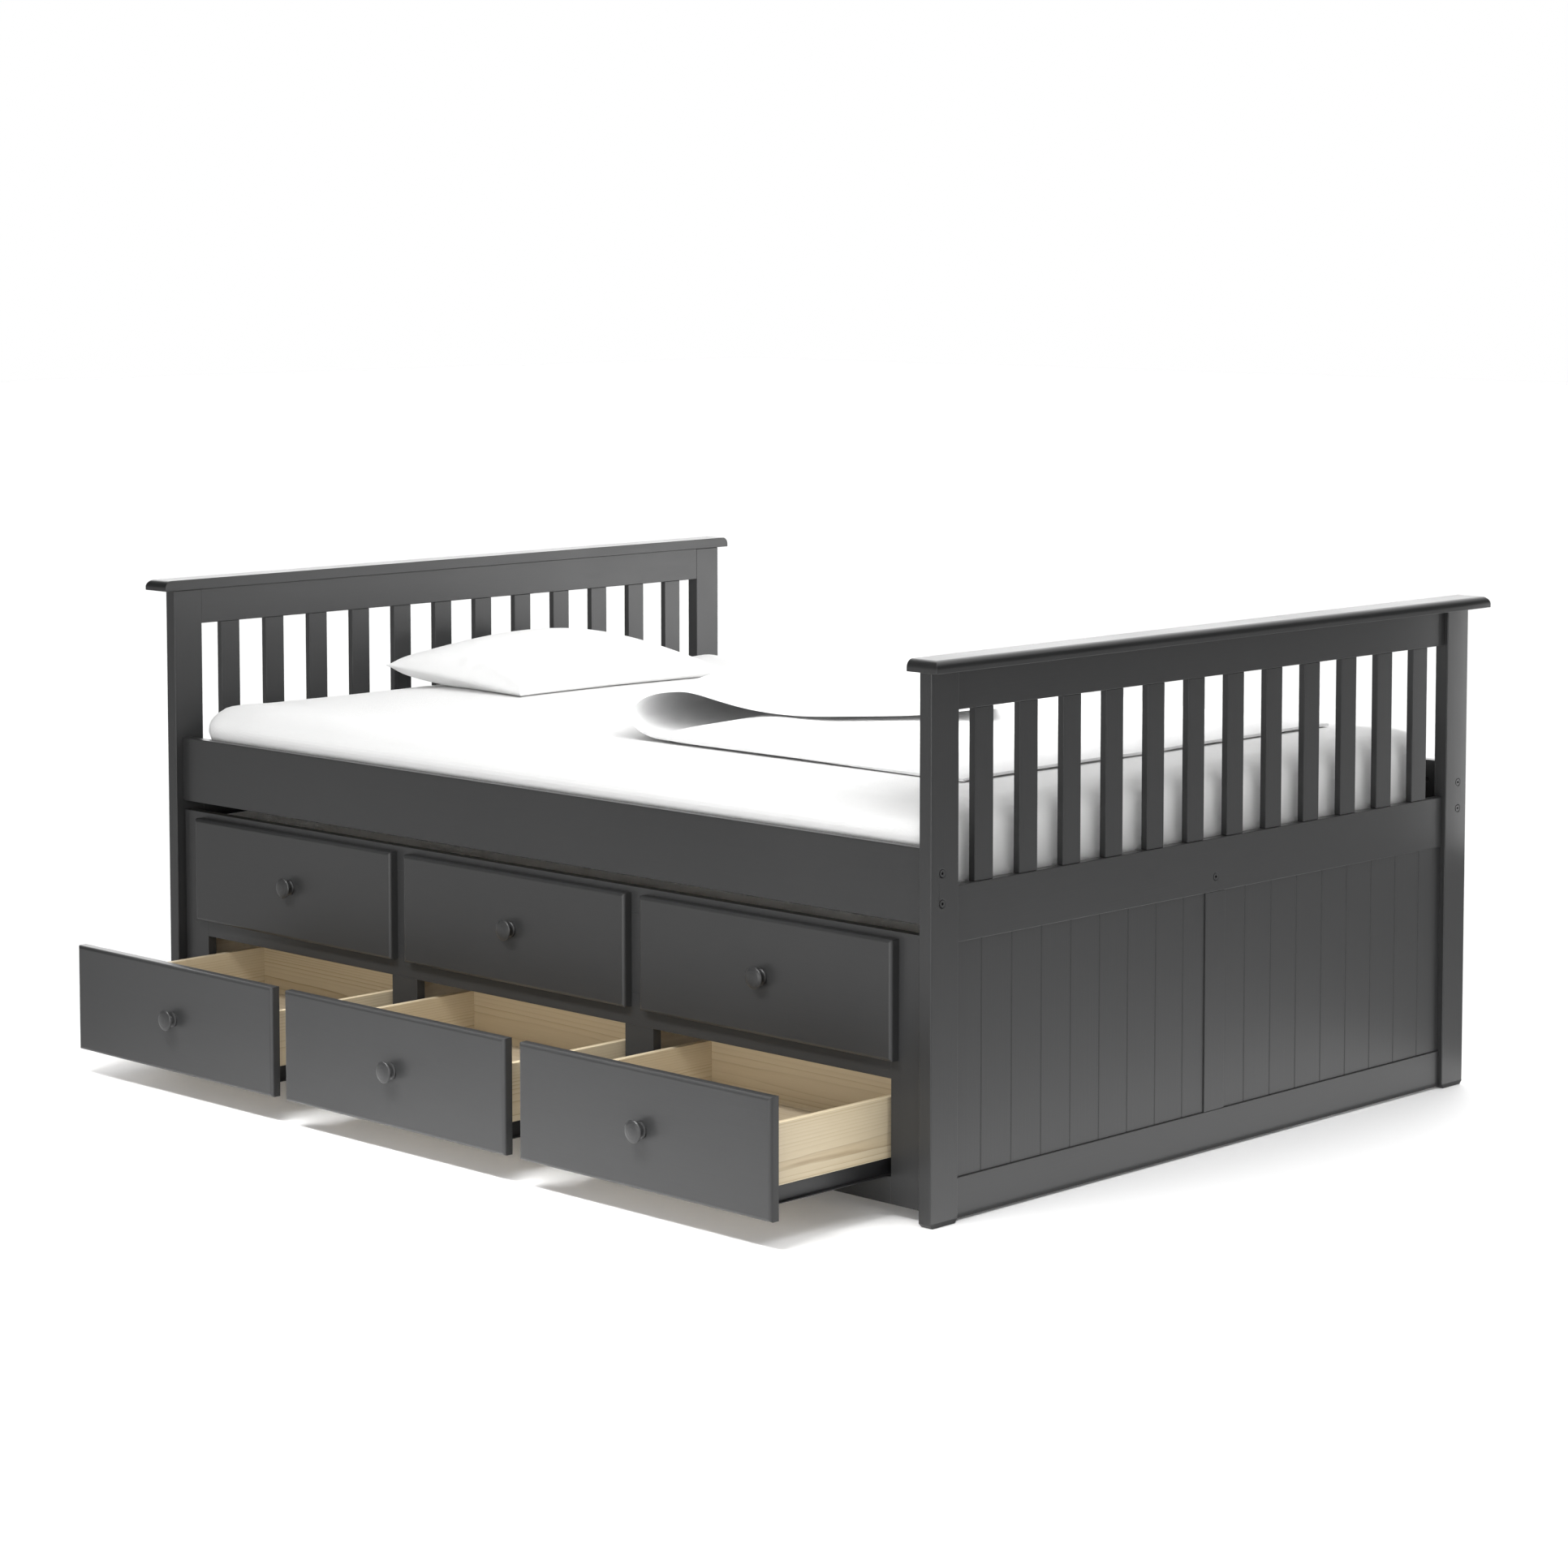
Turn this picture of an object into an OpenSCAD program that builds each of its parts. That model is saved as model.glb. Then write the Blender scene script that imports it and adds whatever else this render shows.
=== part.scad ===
// Trundle bed: a slatted full-size bed frame with a wheeled trundle under it. The trundle
// carries a twin mattress behind three false fronts, and three real drawers below them.
// Head end at -X, foot end at +X, drawer side at -Y, floor at Z = 0, all in millimetres.

/* [Bed frame] */
// Clear length between the head posts and the foot posts
inner_length = 1920; // [1914:2:1940]
// Width across the outer faces of the posts
frame_width = 1452; // [1448:2:1470]
// Height of the posts
post_height = 880; // [860:5:920]
// Post thickness along the bed
post_thickness = 26; // [24:1:32]
// Post width across the bed
post_width = 64; // [58:1:76]
// Chamfer at the foot of each post
post_chamfer = 6; // [2:1:10]
// Thickness of the cap board on each end frame
cap_thickness = 20; // [16:1:26]
// Overhang of the cap beyond the outer face of the posts
cap_overhang = 32; // [20:1:40]
// Overhang of the cap beyond the posts across the bed
cap_end_overhang = 24; // [12:1:32]
// Radius worked on the outer edge and the ends of the cap
cap_radius = 14; // [6:1:15]

/* [Side rails] */
// Height of the underside of the side rails above the floor
side_rail_bottom = 477; // [474:1:480]
// Height of the side rail board
side_rail_height = 121; // [110:1:130]
// Thickness of the side rail board
side_rail_thickness = 20; // [18:1:24]
// Setback of the side rails and the trundle front from the post fronts
side_setback = 16; // [12:1:20]
// Height of the cleats that carry the bed slats
cleat_height = 19; // [16:1:24]
// Depth of the centre beam under the bed slats
beam_height = 50; // [40:1:52]
// Number of bed slats under the mattress
bed_slat_count = 14; // [10:1:16]
// Width of each bed slat and trundle slat
support_slat_width = 70; // [60:2:80]
// Thickness of each bed slat and trundle slat
support_slat_thickness = 18; // [15:1:20]

/* [End frames] */
// Thickness of the rails of the end frames
rail_thickness = 18; // [16:1:20]
// Height of the top rail under the cap
top_rail_height = 66; // [50:2:80]
// Height of the underside of the middle rail
mid_rail_bottom = 446; // [440:1:450]
// Height of the middle rail
mid_rail_height = 91; // [80:1:100]
// Height of the bottom rail
bottom_rail_height = 66; // [50:2:80]
// Clearance of the bottom rail above the floor
bottom_rail_gap = 4; // [2:1:12]
// Number of slats in each end frame
slat_count = 12; // [8:1:13]
// Width of each end slat
slat_width = 44; // [36:1:50]
// Thickness of each end slat
slat_thickness = 13; // [10:1:15]
// Distance from one end slat to the next
slat_pitch = 107.5; // [98:0.5:108]
// Thickness of the plank panels
panel_thickness = 10; // [8:1:12]
// Width of each plank between its grooves
plank_pitch = 73; // [60:1:80]
// Width of the plank beside the middle stile
first_plank = 58; // [50:1:73]
// Width of the stile between the two plank panels
panel_stile_width = 53; // [40:1:60]

/* [Bedding] */
// Length of the full-size mattress
mattress_length = 1896; // [1880:2:1905]
// Width of the full-size mattress
mattress_width = 1372; // [1350:2:1374]
// Thickness of the full-size mattress
mattress_thickness = 146; // [120:2:160]
// Length of the twin mattress in the trundle
trundle_mattress_length = 1905; // [1880:5:1905]
// Width of the twin mattress in the trundle
trundle_mattress_width = 978; // [960:2:980]
// Size of the pillow along the bed
pillow_length = 392; // [360:2:420]
// Size of the pillow across the bed
pillow_width = 570; // [500:5:640]
// Height of the pillow
pillow_height = 104; // [80:2:120]
// Thickness of the folded quilt
quilt_thickness = 14; // [10:1:16]

/* [Trundle] */
// Length of the trundle front along the bed
trundle_length = 1910; // [1906:1:1912]
// Height of the top edge of the trundle front
trundle_top = 460; // [455:1:465]
// Clearance of the trundle front above the floor
trundle_gap = 21; // [16:1:26]
// Thickness of the boards of the trundle
board_thickness = 18; // [16:1:18]
// Depth of the trundle from its front face to its back face
trundle_depth = 1020; // [1018:1:1040]
// Height of the top edge of the trundle back board
trundle_back_top = 340; // [320:5:400]

/* [Drawers] */
// Distance from one drawer to the next
drawer_pitch = 614; // [612:1:616]
// Width of each drawer opening
opening_width = 545; // [543:1:546]
// Width of the drawer fronts and false fronts
front_width = 578; // [570:1:590]
// Height of the drawer fronts and false fronts
front_height = 195; // [190:1:196]
// Thickness of the drawer fronts and false fronts
front_thickness = 18; // [16:1:22]
// Radius worked around the face of each front
front_radius = 6; // [3:1:8]
// Distance that the drawers stand open at rest
drawer_open = 269; // [0:1:290]
// Depth of the drawer box from front to back
box_depth = 395; // [350:5:400]
// Height of the drawer box sides
box_height = 98; // [90:1:100]
// Thickness of the drawer box boards
box_board = 12; // [10:1:14]
// Thickness of the drawer bottom
drawer_bottom = 5; // [4:1:6]

/* [Knobs and casters] */
// Diameter of the knobs
knob_diameter = 37; // [30:1:45]
// Projection of the knobs from the fronts
knob_projection = 21; // [20:1:30]
// Diameter of the caster wheels
wheel_diameter = 50; // [40:1:52]
// Width of the caster wheels
wheel_width = 18; // [14:1:20]
// Diameter of the caster axles
axle_diameter = 8; // [6:1:10]

/* [Hidden] */
$fn = 64;

// Colours
PAINT = "#4b4c4d";
PINE = "#cdb58a";
PLYWOOD = "#c2a878";
STEEL = "#1c1c1d";
COTTON = "#f2f2f0";
PLASTIC = "#2c2c2e";

// End frames, measured from the middle of the bed
inner_x = inner_length / 2;
outer_x = inner_x + post_thickness;
rail_face_x = inner_x + rail_thickness;
half_width = frame_width / 2;
post_inner_y = half_width - post_width;
slat_recess = 2;
panel_recess = 3;
stile_recess = 0.5;
groove_depth = 1.6;
bottom_rail_top = bottom_rail_gap + bottom_rail_height;
mid_rail_top = mid_rail_bottom + mid_rail_height;
top_rail_bottom = post_height - top_rail_height;
cap_inner_overhang = 6;
cap_end_y = half_width + cap_end_overhang;

// Side rails and mattress support
front_y = half_width - side_setback;
rail_inner_y = front_y - side_rail_thickness;
rail_mid_y = front_y - side_rail_thickness / 2;
cleat_width = 20;
cleat_end_gap = 5;
slat_bottom = side_rail_bottom + cleat_height;
slat_top = slat_bottom + support_slat_thickness;
slat_end_gap = 2;
beam_width = 32;
beam_bottom = slat_bottom - beam_height;
mattress_top = slat_top + mattress_thickness;
mattress_corner = 45;

// Pillow
pillow_inset = 16;
pillow_shift = 56;
pillow_corner = 20;
pillow_seam = 0.36;
pillow_foot = 0.7;
pillow_crown = 0.4;

// Quilt that lies on the foot half of the mattress, with its head end folded back over
// itself along a slanting crease
quilt_near_y = -440;
quilt_far_y = 560;
quilt_foot_x = 815;
crease_near_x = 0;
crease_far_x = -440;
fold_rise = 96;
flap_rise = 34;
flap_near = [480, 75];
flap_far = [-185, 684];
flap_corner = [-322, 684];
crown_start = 100;
crown_end = 160;
crown_inset = 10;
crown_slant = 50;

// Connector bolts with barrel nuts
bolt_diameter = 6;
bolt_hole = 6.6;
thread_gap = 0.1;
bolt_head = 12;
bolt_head_depth = 5;
bolt_seat = 13;
bolt_reach = 44;
bolt_spread = 48;
socket_across = 5;
socket_depth = 3;
nut_diameter = 10;
nut_length = 14;
nut_hole = 10.4;
nut_inset = 36;
nut_shift = 2;
nut_end_gap = 1;
rail_bolt_z = side_rail_bottom + side_rail_height / 2;
beam_bolt_z = beam_bottom + beam_height / 2;

// Trundle
trundle_x = trundle_length / 2;
trundle_end_gap = 2;
opening_x = drawer_pitch + opening_width / 2;
opening_bottom = 65;
opening_top = 223;
mid_rail_upper = 280;
top_rail_lower = 416;
mullion_width = drawer_pitch - opening_width;
frame_back_y = board_thickness - front_y;
trundle_back_y = trundle_depth - front_y;
bearer_bottom = 32;
bearer_top = 268;
bearer_back_y = trundle_back_y - board_thickness;
deck_top = bearer_top + support_slat_thickness;
trundle_slat_count = 8;
trundle_mattress_top = 440;
trundle_mattress_gap = 2;
trundle_mattress_corner = 12;

// Drawers and their slides
lower_front_bottom = 47;
upper_front_bottom = 254.5;
closed_gap = 1;
drawer_y = -front_y - closed_gap - drawer_open;
slide_gap = 12.5;
box_half = opening_width / 2 - slide_gap;
box_bottom = 92;
bottom_lift = 8;
groove_bite = 5;
groove_gap = 0.1;
steel = 1.2;
runner_bottom = 66;
runner_lip = 8;
slide_play = 0.4;
channel_length = 400;
channel_bottom = 58;
channel_top = 82;
channel_flange = 9;
slide_rail_bottom = 58;
slide_rail_top = 100;

// Knobs
knob_seat = 10;
knob_seat_depth = 14;
knob_flange = 14;
knob_neck = 6.5;

// Casters
wheel_radius = wheel_diameter / 2;
wheel_clearance = 0.05;
wheel_x = opening_x + (trundle_x - opening_x - trundle_end_gap - board_thickness) / 2;
caster_inset = 42;
wheel_front_y = frame_back_y + caster_inset;
wheel_back_y = bearer_back_y - caster_inset;
cheek_gap = 1;
cheek_depth = 30;
bracket_plate = [46, 60, 2];
bracket_top = slide_rail_bottom;
hub_radius = 12;
tread_radius = 3;
tyre_depth = 6;
axle_head_step = 2;
axle_head_thickness = 1.5;

// Distance from the origin to the middle of the bed: the origin lies under the middle of
// the whole object, with the drawers open
drawer_reach = front_thickness + knob_projection - drawer_y;
bed_y = (drawer_reach - cap_end_y) / 2;

HEAD = -1;
FOOT = 1;
FRONT = -1;
BACK = 1;
SIDES = [-1, 1];
BAYS = [-1, 0, 1];
LEFT = -1;
MIDDLE = 0;
RIGHT = 1;

// --- Helpers ---------------------------------------------------------------------------

// Box between two opposite corners
module block(low, high) translate(low) cube(high - low);

// Moves a piece from the bed's middle line to the origin's frame
module in_place() translate([0, bed_y, 0]) children();

// Builds a piece of the foot end, and mirrors it to the head end
module at_end(end) in_place() mirror([end == HEAD ? 1 : 0, 0, 0]) children();

// Builds a piece of the back, and mirrors it to the front
module at_side(side) mirror([0, side == FRONT ? 1 : 0, 0]) children();

// Cylinder along X, centred on the given point
module rod_x(centre, r, length)
  translate(centre) rotate([0, 90, 0]) cylinder(r = r, h = length, center = true);

// Cylinder along Y, centred on the given point
module rod_y(centre, r, length)
  translate(centre) rotate([90, 0, 0]) cylinder(r = r, h = length, center = true);

// Rectangle from the origin with both corners of its far edge rounded
module rounded_far_edge(width, depth, r) {
  translate([r, 0]) square([width - 2 * r, depth]);
  square([width, depth - r]);
  for (x = [r, width - r]) translate([x, depth - r]) circle(r = r);
}

// Rectangle centred on the origin with four round corners
module rounded_rectangle(size, r) {
  square([size.x - 2 * r, size.y], center = true);
  square([size.x, size.y - 2 * r], center = true);
  for (x = SIDES) for (y = SIDES) {
    translate([x * (size.x / 2 - r), y * (size.y / 2 - r)]) circle(r = r);
  }
}

// --- End frames ------------------------------------------------------------------------

// Clearance hole and head seat of a bolt that runs along X through an end frame
module bolt_bore(y, z, face_x) {
  rod_x([inner_x + post_thickness / 2, y, z], bolt_hole / 2, 2 * post_thickness);
  rod_x([face_x, y, z], bolt_seat / 2, 2 * bolt_head_depth);
}

module post(end, side) color(PAINT) at_end(end) at_side(side) difference() {
  translate([inner_x, 0, 0]) rotate([90, 0, 90]) linear_extrude(post_thickness) polygon([
    [post_inner_y, post_chamfer],
    [post_inner_y + post_chamfer, 0],
    [half_width - post_chamfer, 0],
    [half_width, post_chamfer],
    [half_width, post_height],
    [post_inner_y, post_height]
  ]);
  for (z = SIDES) bolt_bore(rail_mid_y, rail_bolt_z + z * bolt_spread / 2, outer_x);
}

// Board with a worked outer edge and worked ends
module cap(end) color(PAINT) at_end(end) {
  cap_depth = cap_inner_overhang + post_thickness + cap_overhang;
  edge_lip = cap_thickness - cap_radius;
  translate([inner_x - cap_inner_overhang, 0, post_height]) intersection() {
    translate([0, cap_end_y, 0]) rotate([90, 0, 0]) linear_extrude(2 * cap_end_y) union() {
      square([cap_depth - cap_radius, cap_thickness]);
      square([cap_depth, edge_lip]);
      translate([cap_depth - cap_radius, edge_lip]) circle(r = cap_radius);
    }
    rotate([90, 0, 90]) linear_extrude(cap_depth) translate([-cap_end_y, 0])
      rounded_far_edge(2 * cap_end_y, cap_thickness, cap_radius);
    block([0, -cap_end_y, 0], [cap_depth, cap_end_y, cap_thickness]);
  }
}

// Horizontal rail between the posts of an end frame
module end_rail(end, bottom, top) color(PAINT) at_end(end)
  block([inner_x, -post_inner_y, bottom], [rail_face_x, post_inner_y, top]);

module mid_rail(end) color(PAINT) at_end(end) difference() {
  block([inner_x, -post_inner_y, mid_rail_bottom], [rail_face_x, post_inner_y, mid_rail_top]);
  bolt_bore(0, beam_bolt_z, rail_face_x);
}

module end_slats(end) color(PAINT) at_end(end) for (i = [0 : slat_count - 1]) {
  y = (i - (slat_count - 1) / 2) * slat_pitch;
  face = rail_face_x - slat_recess;
  block([face - slat_thickness, y - slat_width / 2, mid_rail_top],
        [face, y + slat_width / 2, top_rail_bottom]);
}

// Two panels of grooved planks, one on each side of the stile
module end_panels(end) color(PAINT) at_end(end) for (side = SIDES) at_side(side) {
  face = rail_face_x - panel_recess;
  edge = panel_stile_width / 2;
  grooves = floor((post_inner_y - edge - first_plank) / plank_pitch);
  difference() {
    block([face - panel_thickness, edge, bottom_rail_top], [face, post_inner_y, mid_rail_bottom]);
    for (i = [0 : grooves]) {
      translate([face, edge + first_plank + i * plank_pitch, bottom_rail_top]) rotate([0, 0, 45])
        cube([sqrt(2) * groove_depth, sqrt(2) * groove_depth, mid_rail_bottom * 2], center = true);
    }
  }
}

module panel_stile(end) color(PAINT) at_end(end)
  block([inner_x, -panel_stile_width / 2, bottom_rail_top],
        [rail_face_x - stile_recess, panel_stile_width / 2, mid_rail_bottom]);

// --- Side rails and mattress support ---------------------------------------------------

// Bolt hole into the end of a rail, and the blind cross hole for its barrel nut, which
// opens towards +Y
module nut_bore(y, z) {
  closed_end = y + nut_shift - nut_length / 2 - nut_end_gap;
  rod_x([inner_x, y, z], bolt_hole / 2, 2 * bolt_reach);
  rod_y([inner_x - nut_inset, closed_end + beam_width / 2, z], nut_hole / 2, beam_width);
}

module side_rail(side) color(PAINT) in_place() mirror([0, side == BACK ? 1 : 0, 0]) difference() {
  block([-inner_x, -front_y, side_rail_bottom],
        [inner_x, -rail_inner_y, side_rail_bottom + side_rail_height]);
  for (end = SIDES) for (z = SIDES) mirror([end == HEAD ? 1 : 0, 0, 0])
    nut_bore(-rail_mid_y, rail_bolt_z + z * bolt_spread / 2);
}

module slat_cleats() color(PINE) in_place() for (side = SIDES) at_side(side)
  block([cleat_end_gap - inner_x, rail_inner_y - cleat_width, side_rail_bottom],
        [inner_x - cleat_end_gap, rail_inner_y, slat_bottom]);

module centre_beam() color(PINE) in_place() difference() {
  block([-inner_x, -beam_width / 2, beam_bottom], [inner_x, beam_width / 2, slat_bottom]);
  for (end = SIDES) mirror([end == HEAD ? 1 : 0, 0, 0]) nut_bore(0, beam_bolt_z);
}

module bed_slats() color(PINE) in_place() for (i = [0 : bed_slat_count - 1]) {
  x = (i - (bed_slat_count - 1) / 2) * inner_length / bed_slat_count;
  block([x - support_slat_width / 2, slat_end_gap - rail_inner_y, slat_bottom],
        [x + support_slat_width / 2, rail_inner_y - slat_end_gap, slat_top]);
}

// Socket-head connector bolt along X, with its head in an end frame's face
module connector_bolt(y, z, face_x) difference() {
  union() {
    rod_x([face_x - bolt_head_depth / 2, y, z], bolt_head / 2, bolt_head_depth);
    rod_x([(face_x - bolt_head_depth + inner_x - bolt_reach) / 2, y, z], bolt_diameter / 2,
          face_x - bolt_head_depth - inner_x + bolt_reach);
  }
  translate([face_x, y, z]) rotate([0, 90, 0])
    cylinder(d = socket_across, h = 2 * socket_depth, center = true, $fn = 6);
}

module frame_bolts() color(STEEL) in_place() for (end = SIDES) {
  mirror([end == HEAD ? 1 : 0, 0, 0]) {
    for (side = SIDES) for (z = SIDES)
      connector_bolt(side * rail_mid_y, rail_bolt_z + z * bolt_spread / 2, outer_x);
    connector_bolt(0, beam_bolt_z, rail_face_x);
  }
}

// Barrel nut lying across a rail at the bolt's place, shifted towards the hole's mouth
module barrel_nut(y, z) difference() {
  rod_y([inner_x - nut_inset, y + nut_shift, z], nut_diameter / 2, nut_length);
  rod_x([inner_x - nut_inset, y, z], (bolt_diameter + thread_gap) / 2, 2 * nut_diameter);
}

module barrel_nuts() color(STEEL) in_place() for (end = SIDES) {
  mirror([end == HEAD ? 1 : 0, 0, 0]) {
    for (side = SIDES) mirror([0, side == BACK ? 1 : 0, 0]) for (z = SIDES)
      barrel_nut(-rail_mid_y, rail_bolt_z + z * bolt_spread / 2);
    barrel_nut(0, beam_bolt_z);
  }
}

// --- Bedding ---------------------------------------------------------------------------

// Block with rounded corners, as a mattress has
module mattress_block(length, width, bottom, top, r) translate([0, 0, bottom])
  linear_extrude(top - bottom) rounded_rectangle([length, width], r);

module mattress() color(COTTON) in_place()
  mattress_block(mattress_length, mattress_width, slat_top, mattress_top, mattress_corner);

// Cushion that is widest at its seam
module pillow() color(COTTON) in_place()
  translate([pillow_length / 2 + pillow_inset - inner_x, pillow_shift, mattress_top]) hull() {
    for (layer = [[0, pillow_foot], [pillow_seam, 1], [1, pillow_crown]])
      translate([0, 0, layer[0] * (pillow_height - 1)]) linear_extrude(1)
        rounded_rectangle([pillow_length, pillow_width] * layer[1], pillow_corner);
  }

module quilt() color(COTTON) in_place() translate([0, 0, mattress_top]) {
  linear_extrude(quilt_thickness) polygon([
    [crease_near_x, quilt_near_y],
    [quilt_foot_x, quilt_near_y],
    [quilt_foot_x, quilt_far_y],
    [crease_far_x, quilt_far_y]
  ]);
  hull() {
    for (rise = [0, flap_rise]) translate([0, 0, rise]) linear_extrude(1) polygon([
      [crease_near_x, quilt_near_y], flap_near, flap_far, flap_corner,
      [crease_far_x, quilt_far_y]
    ]);
    translate([0, 0, fold_rise - 1]) linear_extrude(1) polygon([
      [crease_near_x + crown_start, quilt_near_y + crown_inset],
      [crease_near_x + crown_end, quilt_near_y + crown_inset + crown_slant],
      [crease_far_x + crown_end, quilt_far_y],
      [crease_far_x + crown_start, quilt_far_y]
    ]);
  }
}

// --- Trundle ---------------------------------------------------------------------------

module trundle_stiles() color(PAINT) in_place() for (x = SIDES) mirror([x == LEFT ? 1 : 0, 0, 0])
  block([opening_x, -front_y, trundle_gap], [trundle_x, frame_back_y, trundle_top]);

module trundle_rails() color(PAINT) in_place()
  for (rail = [[trundle_gap, opening_bottom], [opening_top, mid_rail_upper],
               [top_rail_lower, trundle_top]])
    block([-opening_x, -front_y, rail[0]], [opening_x, frame_back_y, rail[1]]);

module trundle_mullions() color(PAINT) in_place() for (x = SIDES)
  for (mullion = [[opening_bottom, opening_top], [mid_rail_upper, top_rail_lower]])
    block([x * drawer_pitch / 2 - mullion_width / 2, -front_y, mullion[0]],
          [x * drawer_pitch / 2 + mullion_width / 2, frame_back_y, mullion[1]]);

// Front board with a radius worked around its face, and a seat for the knob. Its back lies
// at y = 0, and its face looks along -Y
module front_board(bottom) difference() {
  intersection() {
    translate([0, 0, bottom]) linear_extrude(front_height) mirror([0, 1])
      translate([-front_width / 2, 0])
      rounded_far_edge(front_width, front_thickness, front_radius);
    translate([-front_width / 2, 0, bottom + front_height]) rotate([0, 90, 0])
      linear_extrude(front_width) mirror([0, 1])
      rounded_far_edge(front_height, front_thickness, front_radius);
  }
  rod_y([0, -front_thickness, bottom + front_height / 2], knob_seat / 2, 2 * knob_seat_depth);
}

// Turned knob with a tenon. Its flange lies at y = 0, and its face looks along -Y
module knob_shape() rotate([90, 0, 0]) {
  r = knob_diameter / 2;
  p = knob_projection;
  translate([0, 0, -knob_seat_depth]) cylinder(d = knob_seat, h = knob_seat_depth);
  rotate_extrude() polygon([
    [0, 0], [knob_flange, 0], [knob_flange, 2.4], [knob_flange - 2, 3.8], [knob_neck + 1, 5.2],
    [knob_neck, 7.5], [knob_neck + 0.5, 10], [knob_neck + 3, p - 8.6], [r - 1, p - 6.2],
    [r, p - 5.2], [r, p - 4], [r - 1.2, p - 2.8], [r * 0.7, p - 1.3], [r * 0.35, p - 0.3], [0, p]
  ]);
}

module false_fronts() color(PAINT) in_place() for (bay = BAYS)
  translate([bay * drawer_pitch, -front_y, 0]) front_board(upper_front_bottom);

module false_front_knobs() color(PAINT) in_place() for (bay = BAYS)
  translate([bay * drawer_pitch, -front_y - front_thickness,
             upper_front_bottom + front_height / 2]) knob_shape();

// Four boards from front to back: one at each end, and one between each two drawers
module trundle_bearers() color(PLYWOOD) in_place() {
  end_x = trundle_x - trundle_end_gap - board_thickness / 2;
  for (x = [-end_x, -drawer_pitch / 2, drawer_pitch / 2, end_x])
    block([x - board_thickness / 2, frame_back_y, bearer_bottom],
          [x + board_thickness / 2, bearer_back_y, bearer_top]);
}

module trundle_back() color(PLYWOOD) in_place()
  block([trundle_end_gap - trundle_x, bearer_back_y, bearer_bottom],
        [trundle_x - trundle_end_gap, trundle_back_y, trundle_back_top]);

// Wooden rails on the bearers, one beside each drawer side, that carry the slides
module slide_rails() color(PINE) in_place() for (bay = BAYS) for (x = SIDES) {
  edge = bay * drawer_pitch + x * opening_width / 2;
  inner = bay * x == 1 ? trundle_x - trundle_end_gap - board_thickness
                       : drawer_pitch / 2 - board_thickness / 2;
  outer = bay * x == -1 ? drawer_pitch / 2 + board_thickness / 2 : inner;
  backing = (bay == MIDDLE ? x : bay) * outer;
  block([min(edge, backing), frame_back_y, slide_rail_bottom],
        [max(edge, backing), bearer_back_y, slide_rail_top]);
}

// Steel channel on each slide rail, which holds the lip of the drawer's runner
module slide_channels() color(STEEL) in_place() for (bay = BAYS) for (x = SIDES)
  translate([bay * drawer_pitch, frame_back_y, 0]) mirror([x == LEFT ? 1 : 0, 0, 0]) {
    edge = opening_width / 2;
    block([edge - steel, 0, channel_bottom], [edge, channel_length, channel_top]);
    for (z = [runner_bottom - slide_play - steel, runner_bottom + steel + slide_play])
      block([edge - steel - channel_flange, 0, z], [edge - steel, channel_length, z + steel]);
  }

module trundle_slats() color(PINE) in_place() for (i = [0 : trundle_slat_count - 1]) {
  first = frame_back_y + support_slat_width / 2 + trundle_mattress_gap;
  last = bearer_back_y - support_slat_width / 2 - trundle_mattress_gap;
  y = first + i * (last - first) / (trundle_slat_count - 1);
  block([trundle_end_gap - trundle_x, y - support_slat_width / 2, bearer_top],
        [trundle_x - trundle_end_gap, y + support_slat_width / 2, deck_top]);
}

module trundle_mattress() color(COTTON) in_place()
  translate([0, frame_back_y + trundle_mattress_gap + trundle_mattress_width / 2, 0])
  mattress_block(trundle_mattress_length, trundle_mattress_width, deck_top,
                 trundle_mattress_top, trundle_mattress_corner);

// --- Casters ---------------------------------------------------------------------------

module at_casters() for (x = SIDES) for (y = [wheel_front_y, wheel_back_y])
  translate([x * wheel_x, y, wheel_radius]) children();

// Folded plate with a cheek on each side of the wheel
module caster_brackets() color(STEEL) in_place() at_casters() {
  cheek = wheel_width / 2 + cheek_gap;
  top = bracket_top - wheel_radius;
  plate = bracket_plate;
  difference() {
    union() {
      block([-plate.x / 2, -plate.y / 2, top - plate.z], [plate.x / 2, plate.y / 2, top]);
      for (x = SIDES) mirror([x == LEFT ? 1 : 0, 0, 0]) {
        block([cheek, -cheek_depth / 2, 0], [cheek + plate.z, cheek_depth / 2, top - plate.z]);
        rod_x([cheek + plate.z / 2, 0, 0], cheek_depth / 2, plate.z);
      }
    }
    rod_x([0, 0, 0], axle_diameter / 2, wheel_width * 2);
  }
}

module caster_axles() color(STEEL) in_place() at_casters() {
  reach = wheel_width / 2 + cheek_gap + bracket_plate.z;
  rod_x([0, 0, 0], axle_diameter / 2, 2 * reach);
  for (x = SIDES)
    rod_x([x * (reach + axle_head_thickness / 2), 0, 0], axle_diameter / 2 + axle_head_step,
          axle_head_thickness);
}

module wheel(x, y) color(PLASTIC) in_place()
  translate([x * wheel_x, y == FRONT ? wheel_front_y : wheel_back_y, wheel_radius])
  rotate([0, 90, 0]) rotate_extrude($fn = 96) polygon([
    [axle_diameter / 2 + wheel_clearance, -wheel_width / 2],
    [hub_radius, -wheel_width / 2],
    [hub_radius + 1, 1 - wheel_width / 2],
    [wheel_radius - tyre_depth, 1 - wheel_width / 2],
    [wheel_radius - tyre_depth + 1, -wheel_width / 2],
    [wheel_radius - 1, -wheel_width / 2],
    [wheel_radius, tread_radius - wheel_width / 2],
    [wheel_radius, wheel_width / 2 - tread_radius],
    [wheel_radius - 1, wheel_width / 2],
    [wheel_radius - tyre_depth + 1, wheel_width / 2],
    [wheel_radius - tyre_depth, wheel_width / 2 - 1],
    [hub_radius + 1, wheel_width / 2 - 1],
    [hub_radius, wheel_width / 2],
    [axle_diameter / 2 + wheel_clearance, wheel_width / 2]
  ]);

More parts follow.
